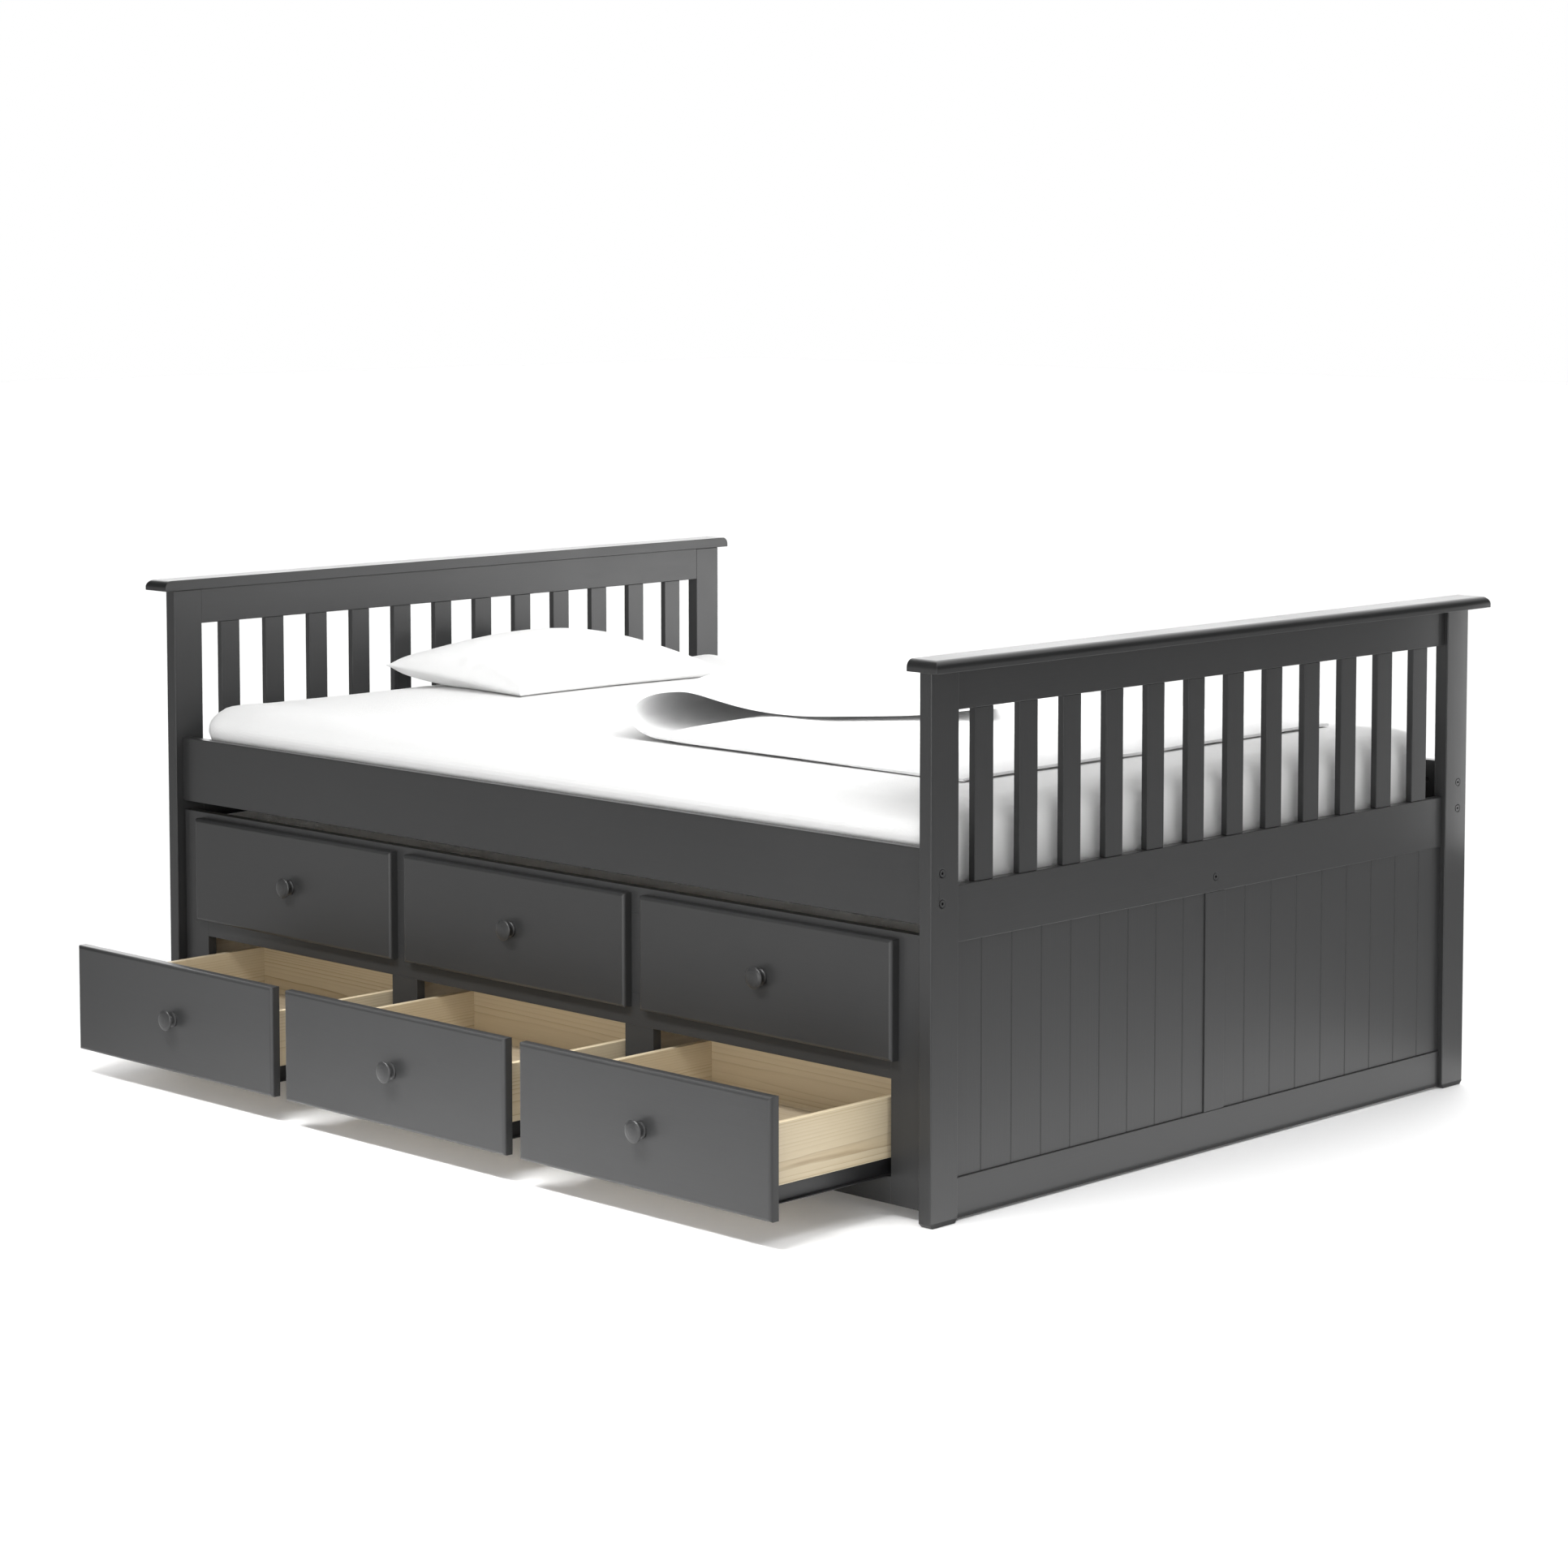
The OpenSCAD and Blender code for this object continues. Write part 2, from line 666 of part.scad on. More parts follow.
// --- Drawers ---------------------------------------------------------------------------

// Moves a drawer piece to its bay. The drawer's own origin is behind its front
module at_drawer(bay) in_place() translate([bay * drawer_pitch, drawer_y, 0]) children();

module drawer_front(bay) color(PAINT) at_drawer(bay) front_board(lower_front_bottom);

module drawer_knob(bay) color(PAINT) at_drawer(bay)
  translate([0, -front_thickness, lower_front_bottom + front_height / 2]) knob_shape();

// The plywood bottom, grown by a clearance to cut its groove
module bottom_shape(gap) {
  inner = box_half - box_board + groove_bite;
  z = box_bottom + bottom_lift;
  block([-inner - gap, box_board - groove_bite - gap, z - gap],
        [inner + gap, box_depth - box_board + groove_bite + gap, z + drawer_bottom + gap]);
}

// Two sides, a back and an inner front, grooved for the bottom
module drawer_box(bay) color(PINE) at_drawer(bay) difference() {
  top = box_bottom + box_height;
  union() {
    for (x = SIDES) mirror([x == LEFT ? 1 : 0, 0, 0])
      block([box_half - box_board, 0, box_bottom], [box_half, box_depth, top]);
    for (y = [0, box_depth - box_board])
      block([groove_gap + box_board - box_half, y, box_bottom],
            [box_half - box_board - groove_gap, y + box_board, top]);
  }
  bottom_shape(groove_gap);
}

module drawer_bottom_panel(bay) color(PLYWOOD) at_drawer(bay) bottom_shape(0);

// Steel runner under each side: a flange screwed to the side, a web, and an outer lip
module drawer_runners(bay) color(STEEL) at_drawer(bay)
  for (x = SIDES) mirror([x == LEFT ? 1 : 0, 0, 0]) {
    block([box_half - steel, 0, runner_bottom], [box_half, box_depth, box_bottom]);
    block([box_half - box_board, 0, box_bottom - steel],
          [box_half - steel, box_depth, box_bottom]);
    block([box_half, 0, runner_bottom], [box_half + runner_lip, box_depth, runner_bottom + steel]);
  }

// --- Nodes -----------------------------------------------------------------------------

post(HEAD, FRONT);  // headboard_post_front
post(HEAD, BACK);  // headboard_post_back
cap(HEAD);  // headboard_cap
end_rail(HEAD, top_rail_bottom, post_height);  // headboard_top_rail
end_slats(HEAD);  // headboard_slats
mid_rail(HEAD);  // headboard_mid_rail
end_panels(HEAD);  // headboard_panels
panel_stile(HEAD);  // headboard_stile
end_rail(HEAD, bottom_rail_gap, bottom_rail_top);  // headboard_bottom_rail
post(FOOT, FRONT);  // footboard_post_front
post(FOOT, BACK);  // footboard_post_back
cap(FOOT);  // footboard_cap
end_rail(FOOT, top_rail_bottom, post_height);  // footboard_top_rail
end_slats(FOOT);  // footboard_slats
mid_rail(FOOT);  // footboard_mid_rail
end_panels(FOOT);  // footboard_panels
panel_stile(FOOT);  // footboard_stile
end_rail(FOOT, bottom_rail_gap, bottom_rail_top);  // footboard_bottom_rail
side_rail(FRONT);  // side_rail_front
side_rail(BACK);  // side_rail_back
slat_cleats();
centre_beam();
bed_slats();
frame_bolts();
barrel_nuts();
mattress();
pillow();
quilt();
trundle_stiles();
trundle_rails();
trundle_mullions();
false_fronts();
false_front_knobs();
trundle_bearers();
trundle_back();
slide_rails();
slide_channels();
trundle_slats();
trundle_mattress();
caster_brackets();
caster_axles();
wheel(LEFT, FRONT);  // wheel_front_left
wheel(RIGHT, FRONT);  // wheel_front_right
wheel(LEFT, BACK);  // wheel_back_left
wheel(RIGHT, BACK);  // wheel_back_right
drawer_front(LEFT);  // drawer_left_front
drawer_box(LEFT);  // drawer_left_box
drawer_bottom_panel(LEFT);  // drawer_left_bottom
drawer_knob(LEFT);  // drawer_left_knob
drawer_runners(LEFT);  // drawer_left_runners
drawer_front(MIDDLE);  // drawer_middle_front
drawer_box(MIDDLE);  // drawer_middle_box
drawer_bottom_panel(MIDDLE);  // drawer_middle_bottom
drawer_knob(MIDDLE);  // drawer_middle_knob
drawer_runners(MIDDLE);  // drawer_middle_runners
drawer_front(RIGHT);  // drawer_right_front
drawer_box(RIGHT);  // drawer_right_box
drawer_bottom_panel(RIGHT);  // drawer_right_bottom
drawer_knob(RIGHT);  // drawer_right_knob
drawer_runners(RIGHT);  // drawer_right_runners
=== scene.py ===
"""Looks of the trundle bed: materials on the CAD pieces, simulated bedding, light and camera.

Lengths are in metres in the row frame. The bed stands with its head end at -X and its drawers
at -Y, and the floor is at Z = 0.
"""

import math

import bpy
import numpy as np
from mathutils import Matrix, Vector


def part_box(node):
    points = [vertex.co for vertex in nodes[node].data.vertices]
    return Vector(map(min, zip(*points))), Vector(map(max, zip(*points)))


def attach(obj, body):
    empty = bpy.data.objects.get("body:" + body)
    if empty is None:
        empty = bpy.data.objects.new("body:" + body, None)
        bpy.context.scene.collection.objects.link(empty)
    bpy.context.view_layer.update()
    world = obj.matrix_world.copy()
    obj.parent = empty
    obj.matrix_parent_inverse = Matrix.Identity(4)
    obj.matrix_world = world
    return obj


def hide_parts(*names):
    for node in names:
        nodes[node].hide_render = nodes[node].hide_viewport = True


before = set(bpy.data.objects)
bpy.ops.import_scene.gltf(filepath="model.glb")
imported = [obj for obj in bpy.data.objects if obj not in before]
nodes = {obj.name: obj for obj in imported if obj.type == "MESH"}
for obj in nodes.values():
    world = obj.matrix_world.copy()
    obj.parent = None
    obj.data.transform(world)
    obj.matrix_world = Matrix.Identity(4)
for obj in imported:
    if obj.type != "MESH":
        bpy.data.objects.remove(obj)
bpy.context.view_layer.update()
scene = bpy.context.scene

DRAWERS = ("left", "middle", "right")
ENDS = ("headboard", "footboard")
X, Y, Z = 0, 1, 2


# --- Materials --------------------------------------------------------------------------


class Graph:
    """A material's node tree, with one call for each kind of node."""

    def __init__(self, name):
        self.material = bpy.data.materials.new(name)
        self.material.use_nodes = True
        self.tree = self.material.node_tree
        self.tree.nodes.clear()
        self.shader = self.node("BsdfPrincipled")
        output = self.node("OutputMaterial")
        self.tree.links.new(self.shader.outputs["BSDF"], output.inputs["Surface"])
        self.place = self.node("TexCoord").outputs["Object"]

    def node(self, kind, inputs=None, **settings):
        made = self.tree.nodes.new("ShaderNode" + kind)
        for key, value in settings.items():
            setattr(made, key, value)
        self.fill(made, inputs or {})
        return made

    def fill(self, node, inputs):
        for key, value in inputs.items():
            if isinstance(value, bpy.types.NodeSocket):
                self.tree.links.new(value, node.inputs[key])
            else:
                node.inputs[key].default_value = value

    def stretched(self, stretch):
        """Object coordinates, scaled along each axis."""
        return self.node("Mapping", {"Vector": self.place, "Scale": stretch}).outputs["Vector"]

    def noise(self, vector, scale, detail=2.0, roughness=0.5):
        made = self.node(
            "TexNoise",
            {"Vector": vector, "Scale": scale, "Detail": detail, "Roughness": roughness},
        )
        return made.outputs["Fac"]

    def math(self, operation, a, b=0.0):
        return self.node("Math", {0: a, 1: b}, operation=operation).outputs[0]

    def vector(self, operation, a, b):
        """A vector operation: b is a vector, or a number where it scales."""
        second = "Scale" if operation == "SCALE" else 1
        return self.node("VectorMath", {0: a, second: b}, operation=operation).outputs[0]

    def split(self, vector):
        return self.node("SeparateXYZ", {"Vector": vector}).outputs

    def span(self, value, low, high, to_low=0.0, to_high=1.0):
        """The value, taken from one range to another and held inside it."""
        limits = {"From Min": low, "From Max": high, "To Min": to_low, "To Max": to_high}
        return self.node("MapRange", {"Value": value, **limits}).outputs["Result"]

    def wave(self, vector, pitch, distortion, detail, detail_scale, **settings):
        """A wave texture that repeats every pitch metres."""
        inputs = {
            "Vector": vector,
            "Scale": math.tau / 20 / pitch,
            "Distortion": distortion,
            "Detail": detail,
            "Detail Scale": detail_scale,
        }
        return self.node("TexWave", inputs, **settings).outputs["Fac"]

    def ramp(self, value, stops):
        made = self.node("ValToRGB", {"Fac": value})
        ramp = made.color_ramp
        while len(ramp.elements) < len(stops):
            ramp.elements.new(0.5)
        for element, (place, colour) in zip(ramp.elements, stops):
            element.position = place
            element.color = (*colour, 1.0)
        return made.outputs["Color"]

    def mix(self, factor, a, b):
        """Colour a where the factor is 0 and colour b where it is 1."""
        made = self.node("Mix", {0: factor}, data_type="RGBA")
        for socket, value in ((6, a), (7, b)):
            colour = value if isinstance(value, bpy.types.NodeSocket) else (*value, 1.0)
            self.fill(made, {socket: colour})
        return made.outputs[2]

    def bump(self, height, distance, under=None):
        inputs = {"Height": height, "Distance": distance}
        if under is not None:
            inputs["Normal"] = under
        return self.node("Bump", inputs).outputs["Normal"]

    def finish(self, **inputs):
        """Sets the shader's inputs, with _ for a space, and gives the material."""
        self.fill(self.shader, {key.replace("_", " "): v for key, v in inputs.items()})
        return self.material


def along(axis, length, across):
    """Scale of a pattern that runs along one axis."""
    return tuple(length if i == axis else across for i in range(3))


def charcoal_paint(axis):
    """Satin charcoal lacquer over wood whose grain runs along the axis."""
    dark, light = (0.0205, 0.0207, 0.0210), (0.0245, 0.0247, 0.0250)
    g = Graph("charcoal_paint_" + "xyz"[axis])
    grain = g.noise(g.stretched(along(axis, 9, 420)), 1.0, 3.0, 0.6)
    pores = g.noise(g.stretched(along(axis, 40, 1900)), 1.0, 1.0)
    cloud = g.noise(g.place, 2.6, 3.0, 0.55)
    peel = g.noise(g.place, 620.0, 2.0)
    tone = g.math("ADD", g.math("MULTIPLY", cloud, 0.7), g.math("MULTIPLY", grain, 0.3))
    colour = g.ramp(tone, [(0.3, dark), (0.7, light)])
    worn = g.span(cloud, 0.3, 0.7, 0.33, 0.39)
    rough = g.math("ADD", worn, g.span(grain, 0.2, 0.8, -0.02, 0.03))
    normal = g.bump(peel, 0.00006, g.bump(pores, 0.00004, g.bump(grain, 0.00010)))
    return g.finish(
        Base_Color=colour, Roughness=rough, Normal=normal, IOR=1.5, Specular_IOR_Level=0.33
    )


PAINT = {axis: charcoal_paint(axis) for axis in (X, Y, Z)}


def pine(name, axis, pith, tilt, pitch=0.0036, mirror=None):
    """Clear-finished pine: growth rings round a pith that runs nearly along the axis.

    The rings are a pitch apart, and the pith leans by the tilt. With mirror, the pith's X is
    its distance from that plane, on both sides of it.
    """
    ring_colours = [
        (0.0, (0.57, 0.488, 0.34)),
        (0.55, (0.55, 0.463, 0.315)),
        (0.82, (0.49, 0.395, 0.255)),
        (0.94, (0.30, 0.223, 0.13)),
        (1.0, (0.55, 0.468, 0.325)),
    ]
    plain, fibre_shade, pale = (0.55, 0.463, 0.32), (0.44, 0.345, 0.22), (0.59, 0.51, 0.375)
    wander_size = 0.022
    g = Graph(name)
    turn = [0.0, 0.0, 0.0]
    turn[(axis + 1) % 3] = tilt
    turn[(axis + 2) % 3] = tilt * 0.6
    place = g.place
    if mirror is not None:
        x, y, z = g.split(place)
        off = g.math("ABSOLUTE", g.math("SUBTRACT", x, mirror))
        place = g.node("CombineXYZ", {X: off, Y: y, Z: z}).outputs[0]
    centred = g.vector("SUBTRACT", place, pith)
    stretch = along(axis, 0.05, 1)
    turned = g.node("Mapping", {"Vector": centred, "Rotation": turn, "Scale": stretch}).outputs[0]
    drift = g.node("TexNoise", {"Vector": turned, "Scale": 9.0, "Detail": 2.0}).outputs["Color"]
    wander = g.vector("SCALE", g.vector("SUBTRACT", drift, (0.5, 0.5, 0.5)), wander_size)
    rings = g.wave(
        g.vector("ADD", turned, wander), pitch, 2.0, 3.0, 1.0,
        wave_type="RINGS", rings_direction="XYZ"[axis], wave_profile="SAW",
    )
    fibre = g.noise(g.stretched(along(axis, 14, 900)), 1.0, 2.0, 0.6)
    faint = g.noise(g.stretched(along(axis, 0.8, 75)), 1.0, 1.0)
    patch = g.noise(g.stretched(along(axis, 2.0, 12)), 1.0, 2.0)
    colour = g.mix(g.span(faint, 0.38, 0.60, 0.75, 0.0), g.ramp(rings, ring_colours), plain)
    colour = g.mix(g.span(fibre, 0.3, 0.75, 0.0, 0.30), colour, fibre_shade)
    colour = g.mix(g.span(patch, 0.35, 0.7, 0.0, 0.22), colour, pale)
    rough = g.span(rings, 0.0, 1.0, 0.50, 0.42)
    normal = g.bump(fibre, 0.00008, g.bump(rings, 0.00010))
    return g.finish(Base_Color=colour, Roughness=rough, Normal=normal, IOR=1.46)


def plywood(name, axis, thickness_axis, ply=0.0026):
    """Sanded plywood: a rotary-cut face, and the plies in its edges."""
    face_colours = [
        (0.0, (0.46, 0.39, 0.29)),
        (0.75, (0.40, 0.33, 0.23)),
        (1.0, (0.48, 0.41, 0.30)),
    ]
    ply_colours = [(0.46, (0.48, 0.38, 0.25)), (0.54, (0.29, 0.21, 0.13))]
    fibre_shade = (0.40, 0.30, 0.19)
    figure_bands = 7.0
    g = Graph(name)
    scale = list(along(axis, 1.4, 26))
    scale[thickness_axis] = 0.4
    figure = g.noise(g.stretched(tuple(scale)), 1.0, 4.0, 0.62)
    figure = g.math("FRACT", g.math("MULTIPLY", figure, figure_bands))
    layer = g.math("FRACT", g.math("DIVIDE", g.split(g.place)[thickness_axis], 2 * ply))
    turned = g.split(g.node("TexCoord").outputs["Normal"])[thickness_axis]
    edge = g.math("LESS_THAN", g.math("ABSOLUTE", turned), 0.5)
    fibre = g.noise(g.stretched(along(axis, 16, 800)), 1.0, 2.0, 0.6)
    colour = g.mix(edge, g.ramp(figure, face_colours), g.ramp(layer, ply_colours))
    colour = g.mix(g.span(fibre, 0.3, 0.75, 0.0, 0.25), colour, fibre_shade)
    rough = g.span(fibre, 0.3, 0.7, 0.62, 0.5)
    return g.finish(Base_Color=colour, Roughness=rough, Normal=g.bump(fibre, 0.00010))


def black_steel():
    """Black-painted steel, rubbed a little along Y, the way that the slides move."""
    g = Graph("black_steel")
    skin = g.noise(g.place, 1400.0, 3.0, 0.6)
    rub = g.noise(g.stretched((60, 5, 60)), 1.0, 3.0)
    colour = g.ramp(rub, [(0.35, (0.004, 0.004, 0.0045)), (0.75, (0.010, 0.010, 0.011))])
    rough = g.span(rub, 0.3, 0.7, 0.38, 0.5)
    normal = g.bump(skin, 0.00005)
    return g.finish(Base_Color=colour, Roughness=rough, Normal=normal, IOR=1.55)


def nylon():
    """Moulded black plastic with scuffs."""
    g = Graph("caster_plastic")
    scuff = g.noise(g.place, 180.0, 4.0, 0.65)
    skin = g.noise(g.place, 2200.0, 2.0)
    colour = g.ramp(scuff, [(0.35, (0.022, 0.022, 0.024)), (0.7, (0.040, 0.040, 0.042))])
    rough = g.span(scuff, 0.3, 0.7, 0.5, 0.62)
    normal = g.bump(skin, 0.00004, g.bump(scuff, 0.00008))
    return g.finish(Base_Color=colour, Roughness=rough, Normal=normal)


def cotton(name, colour, pitch, crease):
    """Woven cotton: crossing threads a pitch apart, faint slubs, and creases of that height."""
    g = Graph(name)
    threads = [
        g.wave(g.place, pitch, 0.6, 1.0, 0.4, wave_type="BANDS", bands_direction=direction)
        for direction in "XYZ"
    ]
    weave = g.math("MULTIPLY", g.math("MAXIMUM", threads[X], threads[Z]), threads[Y])
    slub = g.noise(g.stretched((90, 700, 300)), 1.0, 2.0, 0.6)
    soft = g.noise(g.place, 11.0, 4.0, 0.55)
    shade = tuple(c * 0.93 for c in colour)
    mixed = g.mix(g.span(weave, 0.0, 0.5, 0.35, 0.0), colour, shade)
    mixed = g.mix(g.span(slub, 0.55, 0.8, 0.0, 0.4), mixed, shade)
    normal = g.bump(weave, pitch * 0.25, g.bump(slub, 0.0001, g.bump(soft, crease)))
    g.finish(Base_Color=mixed, Normal=normal, Roughness=g.span(slub, 0.3, 0.7, 0.80, 0.92))
    return g.finish(Sheen_Weight=0.25, Sheen_Roughness=0.5, Specular_IOR_Level=0.3)


STEEL = black_steel()
NYLON = nylon()
SHEET_COTTON = cotton("mattress_cover", (0.87, 0.87, 0.865), 0.0006, 0.0010)
PILLOW_COTTON = cotton("pillow_cotton", (0.88, 0.88, 0.875), 0.0006, 0.0010)
QUILT_COTTON = cotton("quilt_cotton", (0.86, 0.86, 0.86), 0.0008, 0.0008)


# --- CAD pieces -------------------------------------------------------------------------


def dress(node, materials, choose=None):
    """Puts the materials on a CAD node, and picks one for each face."""
    mesh = nodes[node].data
    mesh.materials.clear()
    for m in materials:
        mesh.materials.append(m)
    if choose:
        mesh.polygons.foreach_set("material_index", [choose(f) for f in mesh.polygons])


def ease(node, width, segments=3):
    """Rounds the sharp edges of a board a little, as sanding and paint leave them."""
    piece = nodes[node]
    piece.data.shade_smooth()
    weld = piece.modifiers.new("weld", "WELD")
    weld.merge_threshold = 1e-5
    # The flat faces come as slivers, which would spoil the bevel
    merged = piece.modifiers.new("flat_faces", "DECIMATE")
    merged.decimate_type = "DISSOLVE"
    merged.angle_limit = math.radians(1)
    bevel = piece.modifiers.new("ease", "BEVEL")
    bevel.width = width
    bevel.segments = segments
    bevel.limit_method = "ANGLE"
    bevel.angle_limit = math.radians(40)
    bevel.use_clamp_overlap = False
    bevel.miter_outer = "MITER_ARC"
    normals = piece.modifiers.new("normals", "WEIGHTED_NORMAL")
    normals.keep_sharp = False
    normals.weight = 100


# Painted boards: the way their grain runs, and how much their edges are rounded
TRUNDLE_EDGE = 0.0006
BOARDS = {
    "side_rail_front": (X, 0.0015),
    "side_rail_back": (X, 0.0015),
    "trundle_stiles": (Z, TRUNDLE_EDGE),
    "trundle_rails": (X, TRUNDLE_EDGE),
    "trundle_mullions": (Z, TRUNDLE_EDGE),
}
for end in ENDS:
    for part, axis, width in (
        ("post_front", Z, 0.0018),
        ("post_back", Z, 0.0018),
        ("cap", Y, 0.0010),
        ("top_rail", Y, 0.0012),
        ("mid_rail", Y, 0.0012),
        ("bottom_rail", Y, 0.0012),
        ("slats", Z, 0.0012),
        ("panels", Z, 0.0004),
        ("stile", Z, 0.0008),
    ):
        BOARDS[f"{end}_{part}"] = (axis, width)

for node, (axis, width) in BOARDS.items():
    dress(node, [PAINT[axis]])
    ease(node, width)
for node in ["false_fronts"] + [f"drawer_{d}_front" for d in DRAWERS]:
    dress(node, [PAINT[X]])
for node in ["false_front_knobs"] + [f"drawer_{d}_knob" for d in DRAWERS]:
    dress(node, [PAINT[Z]])

for node in ("frame_bolts", "barrel_nuts", "slide_channels", "caster_brackets", "caster_axles"):
    dress(node, [STEEL])
for end in ("front_left", "front_right", "back_left", "back_right"):
    dress("wheel_" + end, [NYLON])

WIDE_RINGS = 0.0042
RAW_EDGE = 0.0006
DRAWER_BOARD = 0.013
DRAWER_PLY = 0.0011

# Each drawer is cut from other boards, so its piths lie elsewhere
for i, d in enumerate(DRAWERS):
    low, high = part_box(f"drawer_{d}_box")
    middle = (low.x + high.x) / 2
    side_pith = (high.x - middle - 0.045 + 0.008 * i, 0, low.z + 0.018 + 0.006 * i)
    back_pith = (0, high.y + 0.05, low.z + 0.03 + 0.015 * i)
    lengthwise = pine(f"pine_side_{d}", Y, side_pith, 0.03, WIDE_RINGS, middle)
    crosswise = pine(f"pine_back_{d}", X, back_pith, -0.025)
    left, right = low.x + DRAWER_BOARD, high.x - DRAWER_BOARD
    dress(
        f"drawer_{d}_box",
        [lengthwise, crosswise],
        lambda face, left=left, right=right: int(left < face.center.x < right),
    )
    ease(f"drawer_{d}_box", RAW_EDGE, 2)
    dress(f"drawer_{d}_bottom", [plywood(f"plywood_bottom_{d}", X, Z, DRAWER_PLY)])
    dress(f"drawer_{d}_runners", [STEEL])

SLAT_PINE = pine("pine_slats", Y, (0.2, 0, 0.47), 0.01, WIDE_RINGS)
BEAM_PINE = pine("pine_rails", X, (0, 0.1, 0.43), 0.01, WIDE_RINGS)
for node in ("bed_slats", "trundle_slats", "slide_rails"):
    dress(node, [SLAT_PINE])
    ease(node, 0.0015, 2)
for node in ("slat_cleats", "centre_beam"):
    dress(node, [BEAM_PINE])
dress("trundle_bearers", [plywood("plywood_bearers", Y, X)])
dress("trundle_back", [plywood("plywood_back", X, Y)])
for node in ("trundle_bearers", "trundle_back"):
    ease(node, RAW_EDGE, 2)


# --- Bedding ------------------------------------------------------------------------------


def smooth(value, low, high):
    """0 below low, 1 above high, with a smooth step between them."""
    t = np.clip((value - low) / (high - low), 0, 1)
    return t * t * (3 - 2 * t)


WAVE_COUNT = 7
WAVE_GAIN = 1.6


def waves(points, scale, seed):
    """A few sine waves in fixed random directions: soft unevenness of about -1 to 1."""
    rng = np.random.default_rng(seed)
    total = np.zeros(len(points))
    for _ in range(WAVE_COUNT):
        direction = rng.normal(size=3)
        direction *= math.tau / scale * rng.uniform(0.6, 1.5) / np.linalg.norm(direction)
        total += np.sin(points @ direction + rng.uniform(0, math.tau))
    return total / WAVE_COUNT * WAVE_GAIN


def soft_piece(name, points, faces, material, node, body):
    """A fabric piece that stands for a CAD node and rides on its body."""
    mesh = bpy.data.meshes.new(name)
    mesh.from_pydata(points.tolist(), [], faces.tolist())
    mesh.materials.append(material)
    mesh.shade_smooth()
    piece = bpy.data.objects.new(name, mesh)
    scene.collection.objects.link(piece)
    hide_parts(node)
    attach(piece, body)
    return piece


def places(mesh):
    """A mesh's points, as rows of X, Y and Z."""
    flat = np.empty(len(mesh.vertices) * 3)
    mesh.vertices.foreach_get("co", flat)
    return flat.reshape(-1, 3)


def put(mesh, points):
    """Moves a mesh's points to new places."""
    mesh.vertices.foreach_set("co", points.astype(np.float32).ravel())
    mesh.update()


def quads(n, m, first=0):
    """The faces of a grid of n by m points, by the points' numbers."""
    k = np.arange(n * m).reshape(n, m) + first
    return np.stack([k[:-1, :-1], k[1:, :-1], k[1:, 1:], k[:-1, 1:]], -1).reshape(-1, 4)


def grid_points(lines):
    """Each pair of values from two lines of them, as two flat arrays."""
    return (g.ravel() for g in np.meshgrid(*lines, indexing="ij"))


def box_grid(low, high, spacing):
    """A closed box of even quads, as points and faces."""
    points, faces, count = [], [], 0
    for axis in range(3):
        a, b = (axis + 1) % 3, (axis + 2) % 3
        lines = [
            np.linspace(low[i], high[i], max(3, round((high[i] - low[i]) / spacing) + 1))
            for i in (a, b)
        ]
        across = np.stack(np.meshgrid(*lines, indexing="ij"), -1)
        n, m = across.shape[:2]
        for side, turn in ((low[axis], -1), (high[axis], 1)):
            grid = np.empty((n, m, 3))
            grid[..., a], grid[..., b], grid[..., axis] = across[..., 0], across[..., 1], side
            faces.append(quads(n, m, count)[:, ::turn])
            points.append(grid.reshape(-1, 3))
            count += n * m
    points = np.concatenate(points)
    _, first, same = np.unique(
        np.round(points * 1e5).astype(int), axis=0, return_index=True, return_inverse=True
    )
    return points[first], same.reshape(-1)[np.concatenate(faces)]


def rounded(points, low, high, radius, bottom):
    """Rounds a box's edges: its upright edges and top edge by radius, its bottom edge less."""
    up = points[:, Z] > (low[Z] + high[Z]) / 2
    reach = np.tile(radius, (len(points), 1))
    reach[~up, Z] = bottom
    core = np.clip(points, low + reach, high - reach)
    out = (points - core) / reach
    length = np.linalg.norm(out, axis=1, keepdims=True)
    return core + (points - core) / np.maximum(length, 1)


INFLATE_FRAMES = 16


def inflate(piece, pressure, cap, pinned=None, settle=0):
    """Swells a closed fabric piece with a cloth simulation and keeps the result.

    No point moves by more than the cap.
    """
    start = places(piece.data)
    cloth = piece.modifiers.new("cloth", "CLOTH")
    settings = cloth.settings
    settings.quality = 5
    settings.mass = 0.3
    settings.use_pressure = True
    settings.uniform_pressure_force = pressure
    settings.effector_weights.gravity = 0
    settings.bending_stiffness = 0.5
    if pinned is not None:
        group = piece.vertex_groups.new(name="pinned")
        group.add(np.flatnonzero(pinned).tolist(), 1.0, "REPLACE")
        settings.vertex_group_mass = "pinned"
    evened = piece.modifiers.new("settle", "SMOOTH")
    evened.iterations = settle
    for number in range(1, INFLATE_FRAMES + 1):
        scene.frame_set(number)
    swollen = piece.evaluated_get(bpy.context.evaluated_depsgraph_get())
    move = places(swollen.data) - start
    piece.modifiers.clear()
    scene.frame_set(1)
    length = np.linalg.norm(move, axis=1, keepdims=True)
    put(piece.data, start + move * np.minimum(1, cap / np.maximum(length, 1e-9)))


MATTRESS_INSET = np.array([0.004, 0.004, 0.002])
MATTRESS_ROUND = 0.045
MATTRESS_BOTTOM_ROUND = 0.022
# The gathers start this far from a corner's two sides, and fan out from a point closer to it
GATHER_REACH = 0.26
GATHER_CENTRE = 0.16
GATHER_FOLDS = 26


